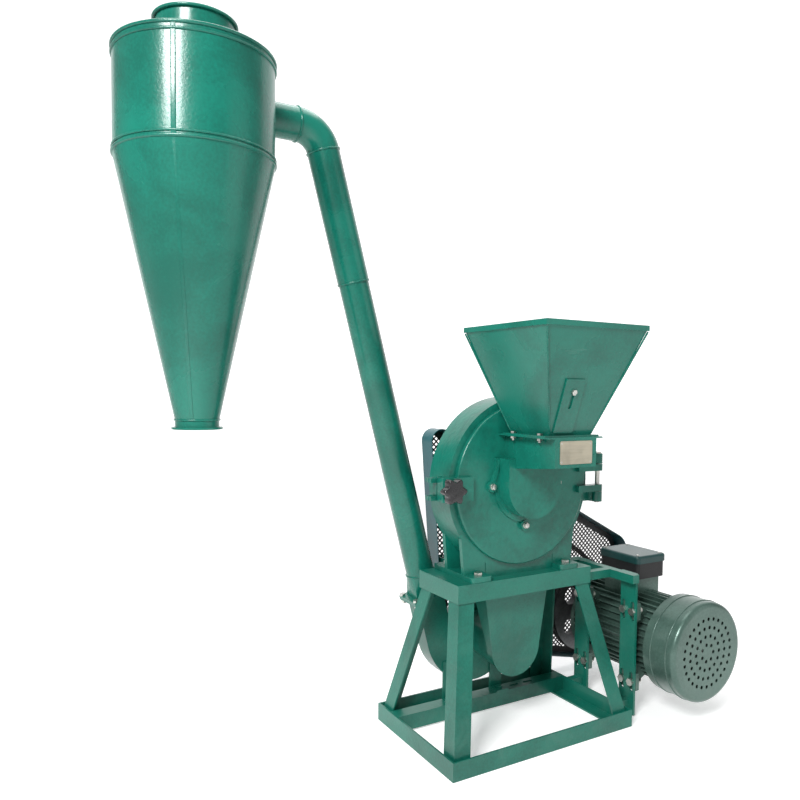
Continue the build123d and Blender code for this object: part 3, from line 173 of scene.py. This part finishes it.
enamel_light = (0.004, 0.138, 0.098)
enamel_dark = (0.003, 0.084, 0.060)
enamel = finish("green_enamel", enamel_light, enamel_dark, rough=0.27, rough_play=0.06, relief=0.00045,
                coat=0.3, scratches=0.12)
dress(enamel, "feed_box", "hopper", "feed_gate", "lower_pipe", "upper_pipe", "inlet_elbow", "cyclone_barrel",
      "cyclone_cone", "vortex_tube")

# ---- enamel on the castings ----
# The mill case and its door are grey iron cast in sand, so the same enamel shows a coarser skin.
enamel_cast = finish("green_enamel_cast", enamel_light, enamel_dark, rough=0.32, rough_play=0.07, grain=85.0,
                     relief=0.0010, coat=0.25, tone_scale=8.0, scratches=0.1)
dress(enamel_cast, "mill_housing", "front_door", "mill_bearing_housing", "fan_bearing_housing",
      "latch_trunnion")

# ---- enamel on the stand ----
# Welded angle iron and folded sheet near the floor: the coat is thinner and carries flour dust.
enamel_stand = finish("green_enamel_stand", (0.006, 0.142, 0.100), (0.004, 0.088, 0.062), rough=0.34,
                      rough_play=0.08, relief=0.0004, coat=0.2, dust=0.16, dust_tone=(0.10, 0.20, 0.16, 1),
                      scratches=0.18)
dress(enamel_stand, "base_ring", "top_frame", "legs", "fan_rail", "motor_mount_frame", "motor_mount_stays",
      "motor_uprights", "fan_casing", "fan_feet", "duct_body", "duct_front_plate", "guard_brackets")

# ---- guard rim ----
# Two millimetre sheet rolled to the guard's outline and painted a bluer green.
guard_blue = finish("blue_green_enamel", (0.005, 0.085, 0.098), (0.003, 0.050, 0.060), rough=0.30, coat=0.3,
                    dust=0.05, scratches=0.15)
dress(guard_blue, "belt_guard_rim")

# ---- motor shell ----
# Grey-green machine enamel with a metallic cast over the finned body, shields and fan cowl.
motor_enamel = finish("motor_enamel", (0.085, 0.150, 0.125), (0.050, 0.095, 0.078), rough=0.32,
                      rough_play=0.08, metallic=0.35, relief=0.0003, coat=0.3, dust=0.1,
                      dust_tone=(0.16, 0.19, 0.16, 1), scratches=0.15)
dress(motor_enamel, "motor_body", "motor_feet", "motor_end_shields", "fan_cowl")

# ---- black terminal box ----
# The box is black moulded plastic and its lid a very dark blue-green one, both slightly grained.
black_plastic = finish("black_plastic", (0.020, 0.021, 0.022), (0.010, 0.010, 0.011), rough=0.42, grain=420.0,
                       relief=0.0002)
lid_plastic = finish("lid_plastic", (0.014, 0.065, 0.062), (0.008, 0.040, 0.040), rough=0.36, grain=380.0,
                     relief=0.0002, coat=0.15)
dress(black_plastic, "terminal_box", "motor_fan")
dress(lid_plastic, "terminal_lid")

# ---- zinc plated fasteners ----
# Hexagon bolts, nuts, gland and hinge pin, bright zinc with a faint yellow passivation.
zinc = finish("zinc_plate", (0.66, 0.65, 0.60), (0.42, 0.42, 0.40), rough=0.34, metallic=1.0, grain=300.0,
              relief=0.0001, tone_scale=30.0)
dress(zinc, "mill_foot_bolts", "flange_bolts", "hopper_bolts", "motor_foot_bolts", "hinge_pin", "cable_gland")

# ---- bare steel of the rotor ----
# Turned shafts, discs, hammers and the punched ring screen, oiled but unpainted.
steel = finish("bare_steel", (0.44, 0.43, 0.41), (0.24, 0.235, 0.22), rough=0.36, metallic=1.0, grain=60.0,
               relief=0.0001, tone_scale=14.0, stretch=(1, 12, 1))
dress(steel, "mill_shaft", "rotor_discs", "hammer_pins", "hammer_row_1", "hammer_row_2", "hammer_row_3",
      "hammer_row_4", "ring_screen", "mill_bearings", "motor_rotor", "fan_shaft", "fan_impeller")

# ---- pulleys ----
# Grey iron V pulleys, machined all over, with dark dust in the skin.
iron = finish("pulley_iron", (0.20, 0.205, 0.21), (0.10, 0.10, 0.105), rough=0.5, metallic=0.9, grain=120.0,
              relief=0.0003)
dress(iron, "mill_pulley", "motor_pulley", "fan_pulley")

# ---- belts ----
# Fabric-wrapped V belts of black rubber, dull and slightly polished where they run.
rubber = finish("belt_rubber", (0.030, 0.030, 0.031), (0.014, 0.014, 0.015), rough=0.72, grain=700.0,
                relief=0.0004, dust=0.15)
dress(rubber, "motor_belts", "fan_belt")


def bevel(piece, width, segments, limit=30):
    """Rounds the edges of a piece that turn by more than the limit, in degrees."""
    bpy.ops.object.modifier_add(type="BEVEL")
    rounding = piece.modifiers[-1]
    rounding.width = width
    rounding.segments = segments
    rounding.angle_limit = radians(limit)
    bpy.ops.object.modifier_apply(modifier=rounding.name)


def thicken(piece, thickness):
    """Gives a flat sheet its thickness, half of it to each side."""
    bpy.ops.object.modifier_add(type="SOLIDIFY")
    skin = piece.modifiers[-1]
    skin.thickness = thickness
    skin.offset = 0
    bpy.ops.object.modifier_apply(modifier=skin.name)


def finish_mesh(body, material, smooth=True, angle=35):
    """The new object gets its place in its mesh, outward faces, its finish and its body."""
    piece = bpy.context.object
    bpy.ops.object.mode_set(mode="OBJECT")
    bpy.ops.object.transform_apply(location=True, rotation=True, scale=True)
    bpy.ops.object.mode_set(mode="EDIT")
    bpy.ops.mesh.select_all(action="SELECT")
    bpy.ops.mesh.normals_make_consistent(inside=False)
    bpy.ops.object.mode_set(mode="OBJECT")
    if smooth:
        bpy.ops.object.shade_smooth_by_angle(angle=radians(angle))
    piece.data.materials.clear()
    piece.data.materials.append(material)
    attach(piece, body)
    return piece


# ---- guard mesh ----
# The guard's open side is black perforated sheet, inside a flat edge band. The holes are punched on a
# square grid turned by 45 degrees and trimmed to the guard's outline.
bpy.ops.object.select_all(action="DESELECT")
sheet_low, sheet_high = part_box("belt_guard_mesh")
sheet_y = (sheet_low[1] + sheet_high[1]) / 2
sheet_vertices = nodes["belt_guard_mesh"].data.vertices
outline_points = sorted({(round(vertex.co.x, 4), round(vertex.co.z, 4)) for vertex in sheet_vertices})


def half_hull(points):
    """One side of the outline of a set of points, going round them once."""
    chain = []
    for point in points:
        while len(chain) > 1:
            ax, az = chain[-1][0] - chain[-2][0], chain[-1][1] - chain[-2][1]
            bx, bz = point[0] - chain[-2][0], point[1] - chain[-2][1]
            if ax * bz - az * bx > 0:
                break
            chain.pop()
        chain.append(point)
    return chain[:-1]


outline = half_hull(outline_points) + half_hull(outline_points[::-1])


def inside_guard(x, z, margin):
    """True where a point lies inside the guard's outline by at least the margin."""
    for (ax, az), (bx, bz) in zip(outline, outline[1:] + outline[:1]):
        edge = Vector((bx - ax, bz - az))
        if edge.length > 1e-5 and (edge.x * (z - az) - edge.y * (x - ax)) / edge.length < margin:
            return False
    return True


mesh_pitch = 0.0125
mesh_web = 0.0048          # metal left between two holes
mesh_size = 1.25
band_width = 0.020
cells = int(mesh_size / mesh_pitch)
middle = ((sheet_low[0] + sheet_high[0]) / 2, sheet_y, (sheet_low[2] + sheet_high[2]) / 2)
bpy.ops.mesh.primitive_grid_add(x_subdivisions=cells, y_subdivisions=cells, size=mesh_size)
guard_mesh = bpy.context.object
guard_mesh.name = "guard_perforated_sheet"
guard_mesh.matrix_world = (Matrix.Translation(middle) @ Matrix.Rotation(pi / 2, 4, "X")
                           @ Matrix.Rotation(pi / 4, 4, "Z"))
bpy.ops.object.transform_apply(location=True, rotation=True, scale=True)
bpy.ops.object.mode_set(mode="EDIT")
bpy.ops.mesh.select_mode(type="FACE")
bpy.ops.mesh.select_all(action="DESELECT")
bpy.ops.object.mode_set(mode="OBJECT")
for polygon in guard_mesh.data.polygons:
    polygon.select = not inside_guard(polygon.center.x, polygon.center.z, band_width / 2)
bpy.ops.object.mode_set(mode="EDIT")
bpy.ops.mesh.delete(type="FACE")
bpy.ops.mesh.select_all(action="SELECT")
bpy.ops.mesh.inset(thickness=mesh_web / 2, use_individual=True)
bpy.ops.mesh.delete(type="FACE")
bpy.ops.object.mode_set(mode="OBJECT")
thicken(guard_mesh, 0.0014)
black_sheet = finish("black_sheet", (0.022, 0.024, 0.026), (0.010, 0.010, 0.012), rough=0.42, relief=0.0002,
                     coat=0.1, dust=0.15)
finish_mesh("machine", black_sheet, smooth=False)

bpy.ops.mesh.primitive_circle_add(vertices=len(outline), radius=1, fill_type="NGON")
edge_band = bpy.context.object
edge_band.name = "guard_edge_band"
for vertex, (x, z) in zip(edge_band.data.vertices, outline):
    vertex.co = (x, sheet_y, z)
bpy.ops.object.mode_set(mode="EDIT")
bpy.ops.mesh.select_all(action="SELECT")
bpy.ops.mesh.remove_doubles(threshold=0.0008)
bpy.ops.mesh.select_mode(type="FACE")
bpy.ops.mesh.select_all(action="SELECT")
bpy.ops.mesh.inset(thickness=band_width)
bpy.ops.mesh.delete(type="FACE")
bpy.ops.object.mode_set(mode="OBJECT")
thicken(edge_band, 0.002)
finish_mesh("machine", black_sheet, smooth=False)
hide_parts("belt_guard_mesh")
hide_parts("belt_guard_mesh")

# ---- star knob ----
# The door is clamped by a six-lobed moulded knob on a plated stud. The lobes are a cosine round the rim,
# and all the edges are rounded over.
bpy.ops.object.select_all(action="DESELECT")
knob_low, knob_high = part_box("star_knob_bolt")
knob_x = (knob_low[0] + knob_high[0]) / 2
knob_z = (knob_low[2] + knob_high[2]) / 2
knob_r = (knob_high[0] - knob_low[0]) / 2
knob_depth = 0.026
knob_front = knob_low[1]
bpy.ops.mesh.primitive_cylinder_add(vertices=96, radius=knob_r, depth=knob_depth,
                                    location=(0, 0, 0))
knob = bpy.context.object
knob.name = "star_knob"
for vertex in knob.data.vertices:
    turn = atan2(vertex.co.y, vertex.co.x)
    reach = knob_r * (0.86 + 0.14 * cos(6 * turn))
    vertex.co.x = reach * cos(turn)
    vertex.co.y = reach * sin(turn)
knob.matrix_world = (Matrix.Translation((knob_x, knob_front + knob_depth / 2, knob_z))
                     @ Matrix.Rotation(pi / 2, 4, "X"))
bpy.ops.object.transform_apply(location=True, rotation=True, scale=True)
bevel(knob, 0.0045, 4, limit=50)
phenolic = finish("black_phenolic", (0.018, 0.018, 0.019), (0.008, 0.008, 0.009), rough=0.22, relief=0.0001,
                  coat=0.4)
finish_mesh("latch_knob", phenolic)

stud_front = knob_front + knob_depth / 2
stud_back = knob_high[1]
bpy.ops.mesh.primitive_cylinder_add(vertices=32, radius=0.007, depth=stud_back - stud_front,
                                    location=(knob_x, (stud_back + stud_front) / 2, knob_z),
                                    rotation=(pi / 2, 0, 0))
stud = bpy.context.object
stud.name = "star_knob_stud"
bevel(stud, 0.0012, 2)
finish_mesh("latch_knob", zinc)
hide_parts("star_knob_bolt")
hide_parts("star_knob_bolt")

# ---- weld beads and rolled joints ----
# The elbow and the pipe's adapter are welded up from sheet, so each joint carries a narrow uneven bead
# under the paint. The pipes slip together at a swaged ring.
lean = radians(15)
tube_r = 0.044
pipe_y = (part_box("fan_casing")[0][1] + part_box("fan_casing")[1][1]) / 2
pipe_foot = Vector((-0.1805, pipe_y, 0.3735))
pipe_up = Vector((-sin(lean), 0, cos(lean)))
elbow_low, elbow_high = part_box("inlet_elbow")


def ring(name, centre, axis, radius, thick, material, ripple=0.0, body="machine", seed=1):
    """A bead that runs round a tube: a torus square to the axis, its skin a little uneven."""
    bpy.ops.object.select_all(action="DESELECT")
    bpy.ops.mesh.primitive_torus_add(major_segments=96, minor_segments=10, major_radius=radius,
                                     minor_radius=thick)
    bead = bpy.context.object
    bead.name = name
    bead.matrix_world = Matrix.Translation(centre) @ axis.to_track_quat("Z", "Y").to_matrix().to_4x4()
    bpy.ops.object.transform_apply(location=True, rotation=True, scale=True)
    if ripple:
        bpy.ops.object.mode_set(mode="EDIT")
        bpy.ops.mesh.select_all(action="SELECT")
        bpy.ops.transform.vertex_random(offset=ripple, uniform=0.0, normal=1.0, seed=seed)
    return finish_mesh(body, material, angle=80)


elbow_turn_start = pipe_foot + pipe_up * ((elbow_low[2] + tube_r * sin(lean) - pipe_foot.z) / cos(lean))
ring("elbow_weld_low", elbow_turn_start, pipe_up, tube_r, 0.0028, enamel, 0.0006, seed=2)
elbow_end = Vector((elbow_low[0], pipe_y, elbow_high[2] - tube_r))
ring("elbow_weld_high", elbow_end, Vector((1, 0, 0)), tube_r, 0.0028, enamel, 0.0006, seed=3)
adapter_length = 0.070
ring("pipe_foot_weld", pipe_foot + pipe_up * adapter_length, pipe_up, 0.0422, 0.0026, enamel,
     0.0006, seed=4)
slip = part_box("upper_pipe")[0][2] + tube_r * sin(lean)
slip_centre = pipe_foot + pipe_up * ((slip - pipe_foot.z) / cos(lean) + 0.004)
ring("slip_joint_swage", slip_centre, pipe_up, tube_r, 0.0022, enamel)

# ---- cyclone seams ----
# The barrel and the cone are rolled from sheet and closed by one folded seam each. A rolled bead lies just
# under the rim and another at the waist, and the tip's ring is welded on.
barrel_low, barrel_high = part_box("cyclone_barrel")
cone_low, cone_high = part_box("cyclone_cone")
barrel_r = (cone_high[0] - cone_low[0]) / 2
axis_x = (cone_high[0] + cone_low[0]) / 2
axis_y = (cone_high[1] + cone_low[1]) / 2
up = Vector((0, 0, 1))
cone_tip_r = 0.050
rim_centre = Vector((axis_x, axis_y, barrel_high[2] - 0.018))
waist_centre = Vector((axis_x, axis_y, barrel_low[2] + 0.014))
tip_centre = Vector((axis_x, axis_y, cone_low[2] + 0.022))
ring("cyclone_rim_bead", rim_centre, up, barrel_r + 0.0003, 0.0033, enamel)
ring("cyclone_waist_bead", waist_centre, up, barrel_r + 0.0005, 0.0028, enamel)
ring("cyclone_tip_weld", tip_centre, up, cone_tip_r + 0.0005, 0.0022, enamel, 0.0005, seed=6)


def strip(name, low, high, width, thick, out):
    """A folded seam: a flat bar between two points with its edges rounded over."""
    bpy.ops.object.select_all(action="DESELECT")
    along = high - low
    bpy.ops.mesh.primitive_cube_add(size=1)
    seam = bpy.context.object
    seam.name = name
    side = along.cross(out).normalized()
    face = side.cross(along).normalized()
    turn = Matrix((side, face, along.normalized())).transposed().to_4x4()
    seam.matrix_world = (Matrix.Translation((low + high) / 2) @ turn
                         @ Matrix.Diagonal((width, thick, along.length, 1)))
    bpy.ops.object.transform_apply(location=True, rotation=True, scale=True)
    bevel(seam, 0.4 * thick, 3)
    return seam


seam_turn = radians(-118)
seam_out = Vector((cos(seam_turn), sin(seam_turn), 0))
axis = Vector((axis_x, axis_y, 0))
strip("cyclone_barrel_seam", axis + seam_out * barrel_r + up * (barrel_low[2] + 0.006),
      axis + seam_out * barrel_r + up * (barrel_high[2] - 0.006), 0.011, 0.003, seam_out)
finish_mesh("machine", enamel)
strip("cyclone_cone_seam", axis + seam_out * (cone_tip_r + 0.0005) + up * (cone_low[2] + 0.026),
      axis + seam_out * (barrel_r - 0.002) + up * (cone_high[2] - 0.002), 0.009, 0.003, seam_out)
finish_mesh("machine", enamel)

# ---- cowl beads ----
# Two beads are rolled round the motor's fan cowl to stiffen the thin sheet.
cowl_low, cowl_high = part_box("fan_cowl")
cowl_x = (cowl_low[0] + cowl_high[0]) / 2
cowl_z = (cowl_low[2] + cowl_high[2]) / 2
cowl_r = (cowl_high[0] - cowl_low[0]) / 2
for number, back in enumerate((0.030, 0.086), 1):
    centre = Vector((cowl_x, cowl_low[1] + back, cowl_z))
    ring(f"cowl_bead_{number}", centre, Vector((0, 1, 0)), cowl_r, 0.0022, motor_enamel)

# ---- hopper arrises ----
# The hopper's four sheets meet in welded arrises, a little uneven, which stop below the rim.
hopper_low, hopper_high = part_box("hopper")
arris_inset = 0.003
rim_front = hopper_low[1] + arris_inset
rim_back = hopper_high[1] - arris_inset
neck_front = -0.262
neck_back = -0.103
neck_half = 0.0685
corners = ((-1, rim_front, neck_front), (1, rim_front, neck_front),
           (-1, rim_back, neck_back), (1, rim_back, neck_back))
for number, (sx, rim_y, neck_y) in enumerate(corners, 1):
    foot = Vector((sx * neck_half, neck_y, hopper_low[2] + 0.004))
    head = Vector((sx * (hopper_high[0] - arris_inset), rim_y, hopper_high[2] - 0.016))
    strip(f"hopper_arris_{number}", foot, head, 0.0045, 0.0045, Vector((sx, 0, 0)))
    bpy.ops.object.mode_set(mode="EDIT")
    bpy.ops.mesh.select_all(action="SELECT")
    bpy.ops.mesh.subdivide(number_cuts=6)
    bpy.ops.transform.vertex_random(offset=0.0003, seed=number)
    finish_mesh("door", enamel)

# ---- screws of the feed channel ----
# The channel is bolted to the door at three bosses: one plated hexagon screw with a washer at each.
shaft_low, shaft_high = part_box("mill_shaft")
axle_z = (shaft_low[2] + shaft_high[2]) / 2
boss_face_y = -0.086
boss_circle_r = 0.116
for number, turn in enumerate((pi, 1.5 * pi, 0), 1):
    bpy.ops.object.select_all(action="DESELECT")
    screw_x = boss_circle_r * cos(turn)
    screw_z = axle_z + boss_circle_r * sin(turn)
    bpy.ops.mesh.primitive_cylinder_add(vertices=6, radius=0.0085, depth=0.0065,
                                        location=(screw_x, boss_face_y - 0.0045, screw_z),
                                        rotation=(pi / 2, 0, 0))
    screw = bpy.context.object
    screw.name = f"channel_screw_{number}"
    bevel(screw, 0.001, 3)
    finish_mesh("door", zinc)
    bpy.ops.mesh.primitive_torus_add(major_segments=48, minor_segments=8, major_radius=0.0075,
                                     minor_radius=0.0016, location=(screw_x, boss_face_y - 0.0004, screw_z),
                                     rotation=(pi / 2, 0, 0))
    bpy.context.object.name = f"channel_washer_{number}"
    finish_mesh("door", zinc)

# ---- name plate ----
# A thin anodised plate with a raised border and four round rivets, left blank.
plate_low, plate_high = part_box("name_plate")
plate_metal = finish("name_plate_metal", (0.50, 0.46, 0.36), (0.36, 0.33, 0.26), rough=0.36, metallic=0.9,
                     grain=240.0, relief=0.0001, tone_scale=18.0, stretch=(0.05, 1, 1))
dress(plate_metal, "name_plate")
plate_z = (plate_low[2] + plate_high[2]) / 2
rivet_half_x = 0.049
rivet_half_z = 0.024
for number, (sx, sz) in enumerate(((-1, -1), (1, -1), (1, 1), (-1, 1)), 1):
    bpy.ops.object.select_all(action="DESELECT")
    bpy.ops.mesh.primitive_uv_sphere_add(segments=16, ring_count=8, radius=0.0028,
                                         location=(sx * rivet_half_x, plate_low[1] + 0.0005,
                                                   plate_z + sz * rivet_half_z),
                                         scale=(1, 0.45, 1))
    bpy.context.object.name = f"plate_rivet_{number}"
    finish_mesh("door", zinc)

# ---- terminal lid screws ----
# Four cheese-head screws hold the lid of the terminal box down at its corners.
lid_low, lid_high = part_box("terminal_lid")
screw_inset = 0.017
for number, (sx, sy) in enumerate(((0, 0), (1, 0), (1, 1), (0, 1)), 1):
    bpy.ops.object.select_all(action="DESELECT")
    screw_x = lid_low[0] + screw_inset + sx * (lid_high[0] - lid_low[0] - 2 * screw_inset)
    screw_y = lid_low[1] + screw_inset + sy * (lid_high[1] - lid_low[1] - 2 * screw_inset)
    bpy.ops.mesh.primitive_cylinder_add(vertices=32, radius=0.0045, depth=0.004,
                                        location=(screw_x, screw_y, lid_high[2] + 0.0004))
    screw = bpy.context.object
    screw.name = f"lid_screw_{number}"
    bevel(screw, 0.0009, 2)
    finish_mesh("machine", zinc)

# ---- floor and light ----
# A white seamless floor and a lit backdrop behind the machine, a soft key from the upper left, a fill from
# the right and a broad top light.
def studio_paper(name, glow):
    """White paper that also gives off a little light of its own."""
    paper = bpy.data.materials.new(name)
    paper.use_nodes = True
    face = paper.node_tree.nodes["Principled BSDF"]
    face.inputs["Base Color"].default_value = (0.80, 0.80, 0.80, 1)
    face.inputs["Roughness"].default_value = 0.8
    face.inputs["Emission Color"].default_value = (1, 1, 1, 1)
    face.inputs["Emission Strength"].default_value = glow
    return paper


camera_yaw = 0.5366
bpy.ops.object.select_all(action="DESELECT")
bpy.ops.mesh.primitive_plane_add(size=60, location=(0, 0, cad_box[0][2] - 0.0005))
floor = bpy.context.object
floor.name = "studio_floor"
floor.data.materials.append(studio_paper("floor_paper", 0.40))
bpy.ops.mesh.primitive_plane_add(size=24, location=(4.1, 6.9, 8), rotation=(pi / 2, 0, -camera_yaw))
backdrop = bpy.context.object
backdrop.name = "studio_backdrop"
backdrop.data.materials.append(studio_paper("backdrop_paper", 0.75))
bpy.context.scene.view_settings.view_transform = "Standard"

world = bpy.data.worlds.new("studio")
bpy.context.scene.world = world
world.use_nodes = True
world.node_tree.nodes["Background"].inputs["Color"].default_value = (1, 1, 1, 1)
world.node_tree.nodes["Background"].inputs["Strength"].default_value = 0.30
for name, place, size, power in (("key", (-2.8, -2.0, 3.0), 1.2, 200), ("fill", (2.4, -3.0, 1.8), 2.5, 14),
                                 ("top", (-0.3, 0.4, 3.8), 2.5, 60)):
    light = bpy.data.objects.new(name, bpy.data.lights.new(name, "AREA"))
    light.data.size = size
    light.data.energy = power
    light.location = place
    light.rotation_euler = (Vector((-0.3, 0, 0.7)) - Vector(place)).to_track_quat("-Z", "Y").to_euler()
    bpy.context.scene.collection.objects.link(light)

# ---- camera ----
# Eye level of a short person, in front and to the left, looking a little down.
camera_pitch = -0.0471
camera_roll = 0.01
forward = Vector((sin(camera_yaw) * cos(camera_pitch), cos(camera_yaw) * cos(camera_pitch),
                  sin(camera_pitch)))
level = Vector((cos(camera_yaw), -sin(camera_yaw), 0))
upright = level.cross(forward)
right = cos(camera_roll) * level + sin(camera_roll) * upright
above = cos(camera_roll) * upright - sin(camera_roll) * level
camera = bpy.data.objects.new("camera", bpy.data.cameras.new("camera"))
camera.data.lens = 32.73
camera.data.shift_x = -0.027
camera.data.shift_y = 0.030
camera.matrix_world = (Matrix.Translation((-1.3015, -1.6913, 0.9865))
                       @ Matrix((right, above, -forward)).transposed().to_4x4())
bpy.context.scene.collection.objects.link(camera)
bpy.context.scene.camera = camera
